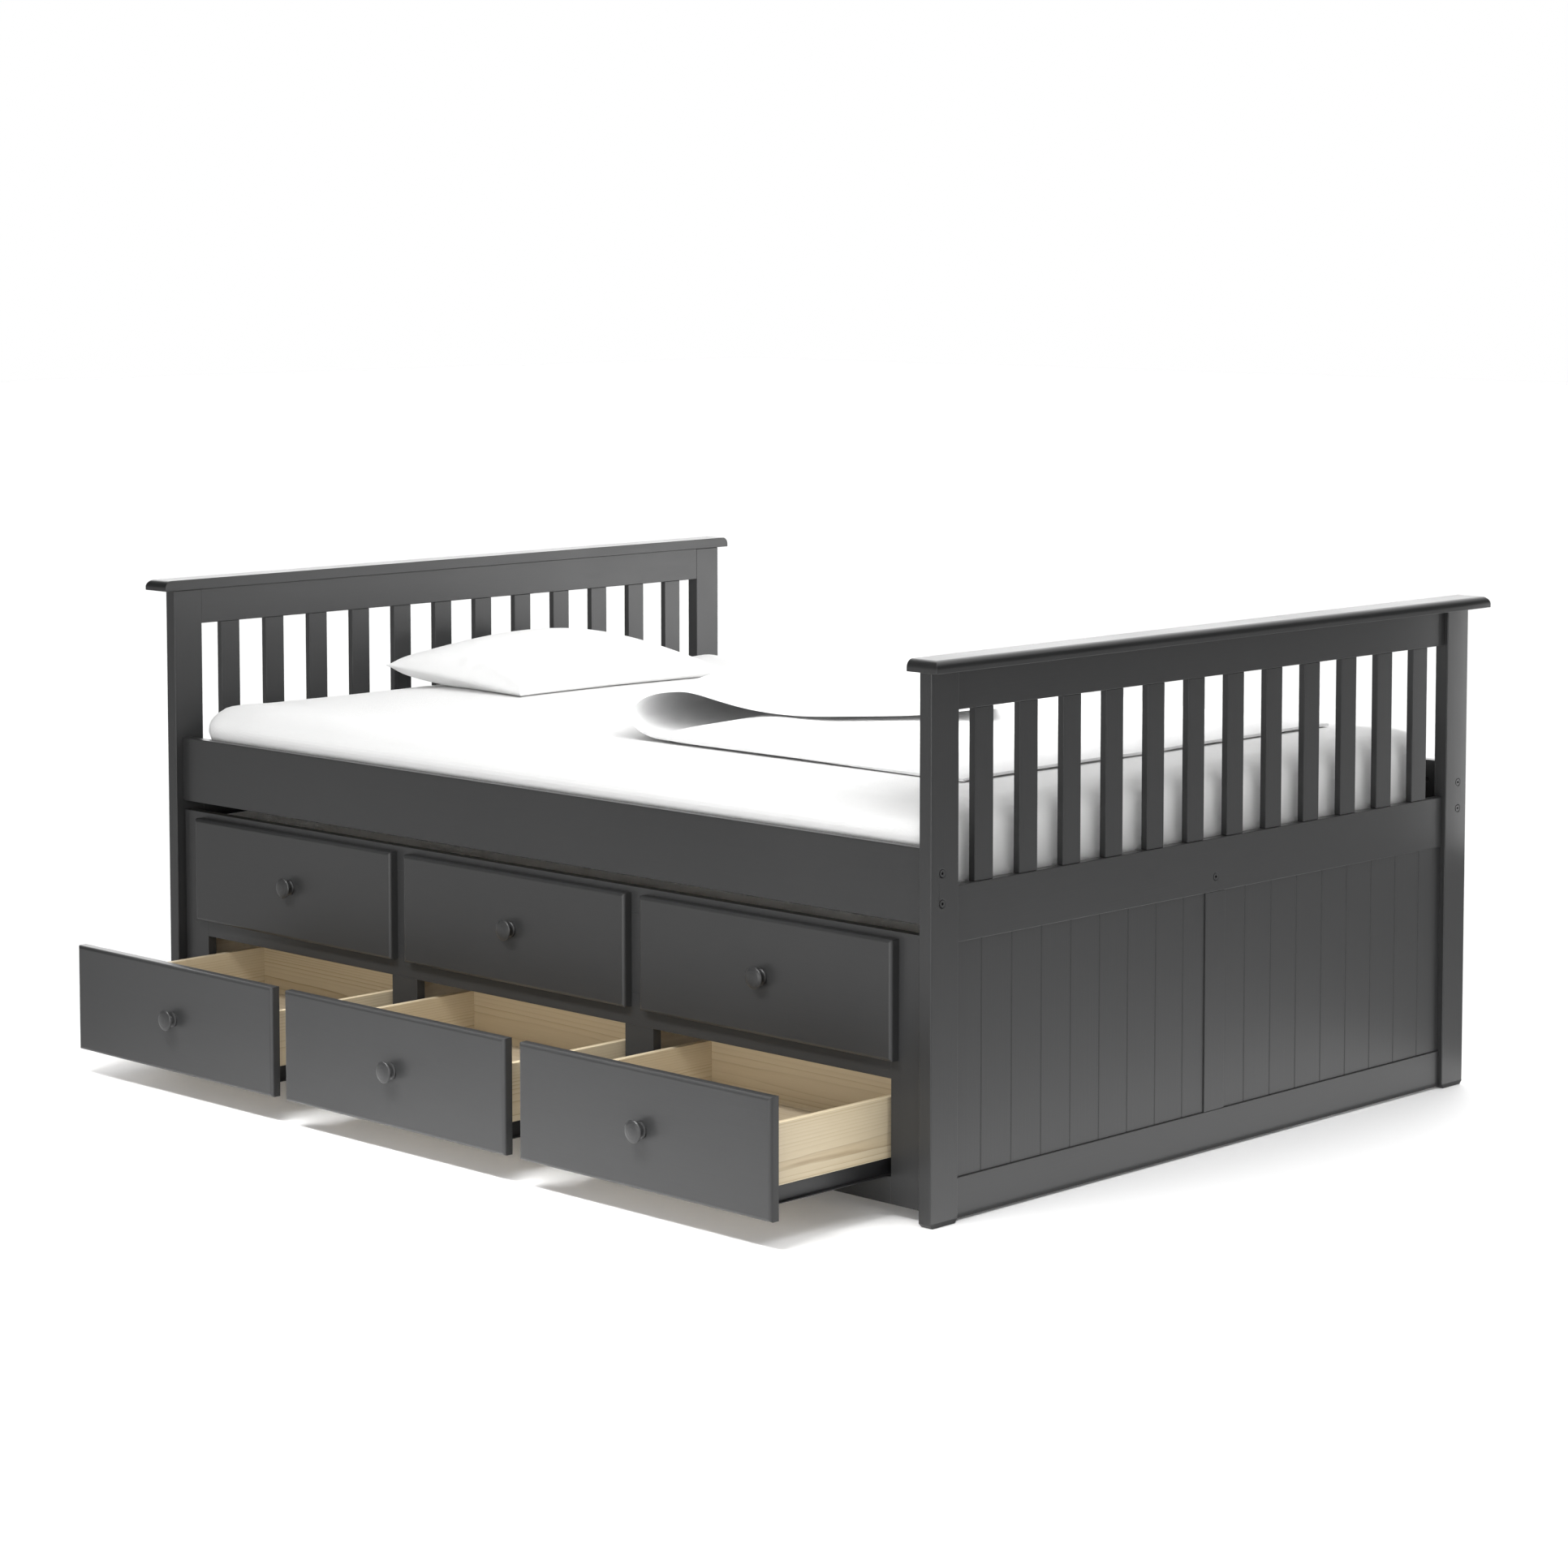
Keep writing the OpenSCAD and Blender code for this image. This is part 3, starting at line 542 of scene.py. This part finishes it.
def mattress_piece(name, node, body, spacing, radius, gather, seed, front_rise=0.0, bulge=0.0):
    """A mattress in a fitted cotton sheet, pulled smooth over a firm, slightly crowned pad.

    The gathers at its corners are as high as gather. The front of its top rises by
    front_rise, and its sides swell over the side rails by bulge.
    """
    low, high = (np.array(v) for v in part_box(node))
    pad_low, pad_high = low + MATTRESS_INSET, high - MATTRESS_INSET
    points, faces = box_grid(pad_low, pad_high, spacing)
    points = rounded(points, pad_low, pad_high, radius, MATTRESS_BOTTOM_ROUND)
    piece = soft_piece(name, points, faces, SHEET_COTTON, node, body)
    inflate(piece, pressure=4.0, cap=0.006, pinned=points[:, Z] < low[Z] + 0.02)
    points = places(piece.data)
    middle, half = (low + high) / 2, (high - low) / 2
    side = (points - middle) / half
    # The sheet's pull: gathers that fan out round each corner, and a slow unevenness
    past_x, past_y = (np.abs(side[:, axis]) * half[axis] - half[axis] for axis in (X, Y))
    corner = smooth(np.minimum(past_x, past_y) + GATHER_REACH, 0.0, GATHER_REACH)
    angle = np.arctan2(past_y + GATHER_CENTRE, past_x + GATHER_CENTRE)
    fold = np.sin(angle * GATHER_FOLDS + 2.0 * waves(points, 0.35, seed))
    upright = 1 - smooth(np.abs(side[:, Z] + 0.1), 0.55, 1.0)
    outward = side * np.array([1, 1, 0])
    outward /= np.maximum(np.linalg.norm(outward, axis=1, keepdims=True), 1e-6)
    points += outward * (gather * corner * upright * fold)[:, None]
    points[:, Z] += 0.0006 * waves(points, 0.30, seed + 1) * smooth(side[:, Z], 0.3, 1.0)
    points = np.clip(points, low - [0.002, 0.0015, 0], high + [0.002, 0.002, 0.0003])
    front = 1 - smooth(points[:, Y], low[Y] + 0.10, middle[Y])
    points[:, Z] += front_rise * front * smooth(side[:, Z], 0.0, 0.8)
    # It swells a little over the side rails
    swell = smooth(side[:, Z], 0.12, 0.34) * (1 - smooth(side[:, Z], 0.55, 0.95))
    at_side = np.sign(side[:, Y]) * smooth(np.abs(side[:, Y]), 0.9, 0.97)
    points[:, Y] += bulge * swell * at_side
    put(piece.data, points)


mattress_piece(
    "mattress_fabric",
    "mattress",
    "bed_frame",
    spacing=0.0155,
    radius=(MATTRESS_ROUND, MATTRESS_ROUND, 0.048),
    gather=0.0014,
    seed=11,
    bulge=0.007,
)
mattress_piece(
    "trundle_mattress_fabric",
    "trundle_mattress",
    "trundle",
    spacing=0.020,
    radius=(MATTRESS_ROUND, 0.012, 0.020),
    gather=0.0016,
    seed=23,
    front_rise=0.012,
)


PILLOW_CASE = (0.400, 0.580)
PILLOW_SPACING = 0.0065
PILLOW_BULGE = 0.046
PILLOW_THICKNESS = 0.116
# Corners of the laid pillow from the low corner of its box: X, Y and the seam's height
PILLOW_CORNERS = {
    (-1, -1): (0.004, -0.001, 0.040),
    (-1, 1): (0.010, 0.560, 0.034),
    (1, -1): (0.369, 0.039, 0.006),
    (1, 1): (0.399, 0.564, 0.012),
}


def pillow_piece():
    """A pillow: a flat case blown up by simulation, then laid down on the mattress."""
    low = np.array(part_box("pillow")[0])
    case = np.array(PILLOW_CASE) / 2
    lines = [np.linspace(-1, 1, round(2 * half / PILLOW_SPACING) + 1) for half in case]
    u, v = grid_points(lines)
    n, m = (len(line) for line in lines)
    bulge = PILLOW_BULGE * ((1 - np.abs(u) ** 2.1) * (1 - np.abs(v) ** 2.1)) ** 0.66
    pinch = np.stack([1 - 0.055 * (1 - v**2), 1 - 0.035 * (1 - u**2)], -1)
    top = np.column_stack([np.column_stack([u, v]) * case * pinch, bulge])
    # The underside mirrors the top and shares its rim
    rim = (np.abs(u) == 1) | (np.abs(v) == 1)
    under = np.where(rim, np.arange(n * m), n * m + np.cumsum(~rim) - 1)
    points = np.concatenate([top, (top * [1, 1, -1])[~rim]])
    faces = np.concatenate([quads(n, m), under[quads(n, m)][:, ::-1]])
    piece = soft_piece(
        "pillow_fabric", points, faces, PILLOW_COTTON, "pillow", "bed_frame"
    )
    inflate(piece, pressure=5.0, cap=0.012, settle=8)
    points = places(piece.data)
    # u and v are now -1 to 1 from corner to corner of the swollen case
    reach = np.abs(points[[0, m - 1, n * m - m, n * m - 1]]).mean(0)
    u, v = points[:, X] / reach[X], points[:, Y] / reach[Y]
    laid = np.zeros_like(points)
    for (a, b), corner in PILLOW_CORNERS.items():
        laid += ((1 + a * u) * (1 + b * v) / 4)[:, None] * (low + np.array(corner))
    inside = np.clip(1 - u**2, 0, 1) * np.clip(1 - v**2, 0, 1)
    thick = points[:, Z].max() - points[:, Z].min()
    laid[:, Z] += 0.020 * inside + points[:, Z] * PILLOW_THICKNESS / thick
    # It flattens softly where it meets the mattress
    bed_height, softness = low[Z] + 0.0015, 0.002
    above = (laid[:, Z] - bed_height) / softness
    laid[:, Z] = bed_height + softness * np.logaddexp(0, above)
    put(piece.data, laid)
    finer = piece.modifiers.new("finer", "SUBSURF")
    finer.levels = finer.render_levels = 1


pillow_piece()


CURVE_POINTS = 40


def bezier(a, b, c, d):
    """Points along a cubic curve."""
    t = np.linspace(0, 1, CURVE_POINTS)[:, None]
    a, b, c, d = (np.array(p) for p in (a, b, c, d))
    return (1 - t) ** 3 * a + 3 * (1 - t) ** 2 * t * b + 3 * (1 - t) * t**2 * c + t**3 * d


QUILT_WIDTH = 1.000
QUILT_LENGTH = 1.515
QUILT_FLAP = 0.700
QUILT_LOWER = QUILT_LENGTH - QUILT_FLAP
QUILT_SPACING = 0.007
QUILT_THICKNESS = 0.005
# Height of the lower layer's middle surface over the mattress
QUILT_REST = 0.0045
# The crease crosses the bed at a slant, from this place, counted from the low corner of the
# quilt's box
CREASE_ANGLE = 0.41
CREASE_START = (0.447, -0.004)
# The roll over the crease: the height of its tip and its crest, and where it ends
ROLL_TIP, ROLL_CREST, ROLL_END = 0.046, 0.084, (0.311, 0.038)
# The curve by which the cloth turns down over the mattress's far edge: how far it goes out and
# down, and its mean radius
DROP_OUT, DROP_DOWN, DROP_RADIUS = 0.0505, 0.0545, 0.0525
# Distances from an edge of the rows of points that shape the hem
HEM_ROWS = np.array([0, 0.0015, 0.004, 0.008, 0.0115, 0.013, 0.0145, 0.018])
HEM_STITCH = 0.013


def roll_section():
    """The roll's section, from the lower layer to the flap.

    Each point is its distance from the crease and its height over the mattress.
    """
    tip, crest = ROLL_TIP, ROLL_CREST
    return np.vstack([
        [[1.5, QUILT_REST]],
        bezier((0.152, QUILT_REST), (0.060, QUILT_REST), (0, tip - 0.034), (0, tip)),
        bezier((0, tip), (0, tip + 0.018), (0.016, crest), (0.076, crest))[1:],
        bezier((0.076, crest), (0.123, crest), (0.168, ROLL_END[1]), ROLL_END)[1:],
        [[1.0, ROLL_END[1]]],
    ])


def cloth_rows(begin, end):
    """Places of the rows of points from one edge of the cloth to the other."""
    body = np.linspace(begin + 0.024, end - 0.024, round((end - begin) / QUILT_SPACING))
    return np.concatenate([begin + HEM_ROWS, body, end - HEM_ROWS[::-1]])


def laid_quilt(x, y):
    """Where the cloth's points come to lie.

    x runs along the cloth from the crease's near end, and y across it from its near edge. The
    cloth beyond the crease is the flap, folded back over the rest in an open roll.
    """
    low = np.array(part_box("quilt")[0])
    section = roll_section()
    # The way along the section is counted from the roll's tip, where the first curve ends
    walked = np.r_[0, np.cumsum(np.linalg.norm(np.diff(section, axis=0), axis=1))]
    walked -= walked[CURVE_POINTS]
    crease = np.array([-math.sin(CREASE_ANGLE), math.cos(CREASE_ANGLE)])
    across = np.array([math.cos(CREASE_ANGLE), math.sin(CREASE_ANGLE)])
    start = low[:2] + np.array(CREASE_START)
    beyond = -(x * across[0] + y * across[1])
    down = x * crease[0] + y * crease[1]
    out = np.interp(beyond, walked, section[:, 0])
    height = np.interp(beyond, walked, section[:, 1])
    # The roll is a little higher and fuller towards its far end
    far = np.clip(down / 1.1, -0.3, 1.2)
    roll = np.exp(-((np.clip(out - 0.075, 0, None) / 0.25) ** 2))
    height = QUILT_REST + (height - QUILT_REST) * (1 + 0.054 * far * roll)
    out = out - 0.021 * far * roll
    ground = start + down[:, None] * crease + out[:, None] * across
    points = np.column_stack([ground, low[Z] + height])
    # The lower layer stands off the mattress, with a soft ridge inside the roll
    lower = 1 - smooth(beyond, -0.10, 0.0)
    loft = smooth(x, 0.03, 0.14) * (1 - smooth(x, 0.30, QUILT_LOWER) * 0.92)
    for inward, width in ((y, 0.009), (QUILT_WIDTH - y, 0.04)):
        loft *= 1 - np.exp(-((np.maximum(inward, 0) / width) ** 1.5))
    ridge = np.exp(-(((out - 0.225) / 0.060) ** 2)) * np.exp(-(((down + 0.02) / 0.34) ** 2))
    lift = 0.020 * loft + 0.010 * ridge * smooth(y, 0, 0.05)
    points[:, Z] += lift * lower * smooth(out, 0.03, 0.13)
    # Its near edge rolls over and under
    tuck = np.sin(math.pi * np.clip(y / 0.026, 0, 1)) * smooth(x, 0.03, 0.14)
    points[:, Y] -= 0.007 * tuck * (1 - smooth(x, 0.30, QUILT_LOWER) * 0.85)
    uneven = waves(points * [1, 1, 0.2], 0.34, 5)
    flap = smooth(beyond, 0.05, 0.4)
    points[:, Z] += 0.0016 * uneven * np.maximum(flap, lower * smooth(y, 0.02, 0.2))
    points[:, Z] = np.maximum(points[:, Z], low[Z] + QUILT_REST)
    # The flap's near corner curls up a little
    near_corner = np.hypot(x + QUILT_FLAP, y)
    points[:, Z] += 0.012 * (1 - smooth(near_corner, 0, 0.20))
    # The flap comes down where it passes the lower layer's far edge
    far_edge = start[Y] + QUILT_WIDTH
    past = smooth(points[:, Y], far_edge - 0.01, far_edge + 0.08) * smooth(beyond, 0.17, 0.33)
    points[:, Z] -= past * (points[:, Z] - low[Z] - QUILT_REST - 0.001)
    # Whatever passes the mattress's far edge turns down round it
    turn_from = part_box("mattress")[1].y - MATTRESS_ROUND
    bend = np.clip(points[:, Y] - turn_from, 0, None)
    turn = np.minimum(bend / DROP_RADIUS, math.pi / 2)
    points[:, Y] += DROP_OUT * np.sin(turn) - bend
    points[:, Z] -= DROP_DOWN * (1 - np.cos(turn)) + bend - DROP_RADIUS * turn
    return points


def quilt_piece():
    """A quilt whose head end is folded back across a slanting crease, in one open roll."""
    rows = cloth_rows(-QUILT_FLAP, QUILT_LOWER), cloth_rows(0, QUILT_WIDTH)
    x, y = grid_points(rows)
    piece = soft_piece(
        "quilt_fabric",
        laid_quilt(x, y),
        quads(len(rows[0]), len(rows[1])),
        QUILT_COTTON,
        "quilt",
        "bed_frame",
    )
    # The hem is full thickness, with a stitched dip along its inner side
    border = np.minimum.reduce([x + QUILT_FLAP, QUILT_LOWER - x, y, QUILT_WIDTH - y])
    weight = np.where(border < 0.0125, 1.0, 0.86)
    weight[np.abs(border - HEM_STITCH) < 0.0008] = 0.6
    group = piece.vertex_groups.new(name="thickness")
    for value in np.unique(weight):
        group.add(np.flatnonzero(weight == value).tolist(), float(value), "REPLACE")
    solid = piece.modifiers.new("thickness", "SOLIDIFY")
    solid.thickness = QUILT_THICKNESS
    solid.offset = 0
    solid.vertex_group = "thickness"
    edge = piece.modifiers.new("hem", "BEVEL")
    edge.width = 0.0018
    edge.segments = 3
    edge.limit_method = "ANGLE"
    edge.angle_limit = math.radians(50)


quilt_piece()


# --- Floor, light and camera --------------------------------------------------------------

WHITE = (1, 1, 1, 1)
FLOOR_SIZE = 60.0
FLOOR_GLOW = 0.075
bpy.ops.mesh.primitive_plane_add(size=FLOOR_SIZE)
floor = bpy.context.object
floor.name = "floor"
g = Graph("floor")
grit = g.noise(g.place, 220.0, 3.0)
pale = g.ramp(grit, [(0.3, (0.855, 0.855, 0.855)), (0.7, (0.865, 0.865, 0.865))])
g.finish(Base_Color=pale, Roughness=0.7, Emission_Color=WHITE, Emission_Strength=FLOOR_GLOW)
floor.data.materials.append(g.material)

# Studio: a dark room with one bright wall behind the bed and one behind the camera, where the
# camera itself sees pure white. For each wall: the direction it lies in, the cosine of the
# angle from there at which it has faded out, and its strength
WALLS = (((-0.70, 0.71, 0.05), 0.60, 3.0), ((0.69, -0.71, 0.12), 0.75, 2.4))
WALL_CORE = 0.95
world = bpy.data.worlds.new("studio")
world.use_nodes = True
tree = world.node_tree
background = tree.nodes["Background"]
background.inputs["Color"].default_value = WHITE
direction = tree.nodes.new("ShaderNodeTexCoord").outputs["Generated"]
glow = tree.nodes.new("ShaderNodeMath")
for i, (side, edge, strength) in enumerate(WALLS):
    facing = tree.nodes.new("ShaderNodeVectorMath")
    facing.operation = "DOT_PRODUCT"
    facing.inputs[1].default_value = side
    tree.links.new(direction, facing.inputs[0])
    wall = tree.nodes.new("ShaderNodeMapRange")
    wall.interpolation_type = "SMOOTHSTEP"
    wall.inputs["From Min"].default_value = edge
    wall.inputs["From Max"].default_value = WALL_CORE
    wall.inputs["To Max"].default_value = strength
    tree.links.new(facing.outputs["Value"], wall.inputs["Value"])
    tree.links.new(wall.outputs["Result"], glow.inputs[i])
seen = tree.nodes.new("ShaderNodeMix")
tree.links.new(tree.nodes.new("ShaderNodeLightPath").outputs["Is Camera Ray"], seen.inputs[0])
tree.links.new(glow.outputs[0], seen.inputs[2])
seen.inputs[3].default_value = 1.0
tree.links.new(seen.outputs[0], background.inputs["Strength"])
scene.world = world


def light(kind, name, place, turn, energy, **settings):
    """A light at a place, turned by degrees about X, Y and Z, that the camera doesn't see."""
    data = bpy.data.lights.new(name, kind)
    data.energy = energy
    for key, value in settings.items():
        setattr(data, key, value)
    made = bpy.data.objects.new(name, data)
    made.location = place
    made.rotation_euler = [math.radians(a) for a in turn]
    made.visible_camera = False
    scene.collection.objects.link(made)


light("SUN", "overhead", (0, 1, 3), (-18, 0, 0), 2.1, angle=math.radians(80))
for name, place, turn, energy, size, spread in (
    ("front_low", (1.0, -3.2, 0.6), (90, 0, 0), 37.0, (1.6, 0.8), 180),
    ("over_head", (0.7, 0.14, 1.5), (0, 72, 0), 17.0, (1.0, 1.4), 150),
    ("head_sheen", (0.45, 1.65, 0.66), (90, 0, 135), 6.5, (1.8, 0.5), 110),
    ("over_drawers", (0.1, -1.35, 1.1), (25, 0, 0), 9.0, (1.9, 0.2), 70),
    ("over_foot", (1.8, -0.1, 1.7), (0, 0, 0), 9.0, (0.8, 2.4), 80),
    # White reflectors that lie on the floor and face upwards
    ("reflector_drawers", (0.45, -1.12, 0.008), (180, 0, 0), 0.8, (1.3, 0.5), 180),
    ("reflector_foot", (1.19, 0.2, 0.008), (180, 0, 0), 2.7, (0.41, 1.6), 180),
):
    light(
        "AREA",
        name,
        place,
        turn,
        energy,
        shape="RECTANGLE",
        size=size[0],
        size_y=size[1],
        spread=math.radians(spread),
    )

# Fitted to the photograph: the eye, with its Y counted from the middle of the bed, the view's
# tilt and turn in degrees, and the framing
EYE = (4.92428, -5.06874, 1.54780)
TILT, TURN = 4.6529, 44.2281
camera_data = bpy.data.cameras.new("camera")
camera = bpy.data.objects.new("camera", camera_data)
scene.collection.objects.link(camera)
camera_data.sensor_width = 36.0
camera_data.lens = 87.452
camera_data.shift_x = -0.0090
camera_data.shift_y = -0.15
camera_data.clip_end = 200
bed_middle = (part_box("mattress")[0].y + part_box("mattress")[1].y) / 2
camera.location = (EYE[X], bed_middle + EYE[Y], EYE[Z])
camera.rotation_euler = (math.radians(90 - TILT), 0, math.radians(TURN))
scene.camera = camera
scene.view_settings.view_transform = "Standard"
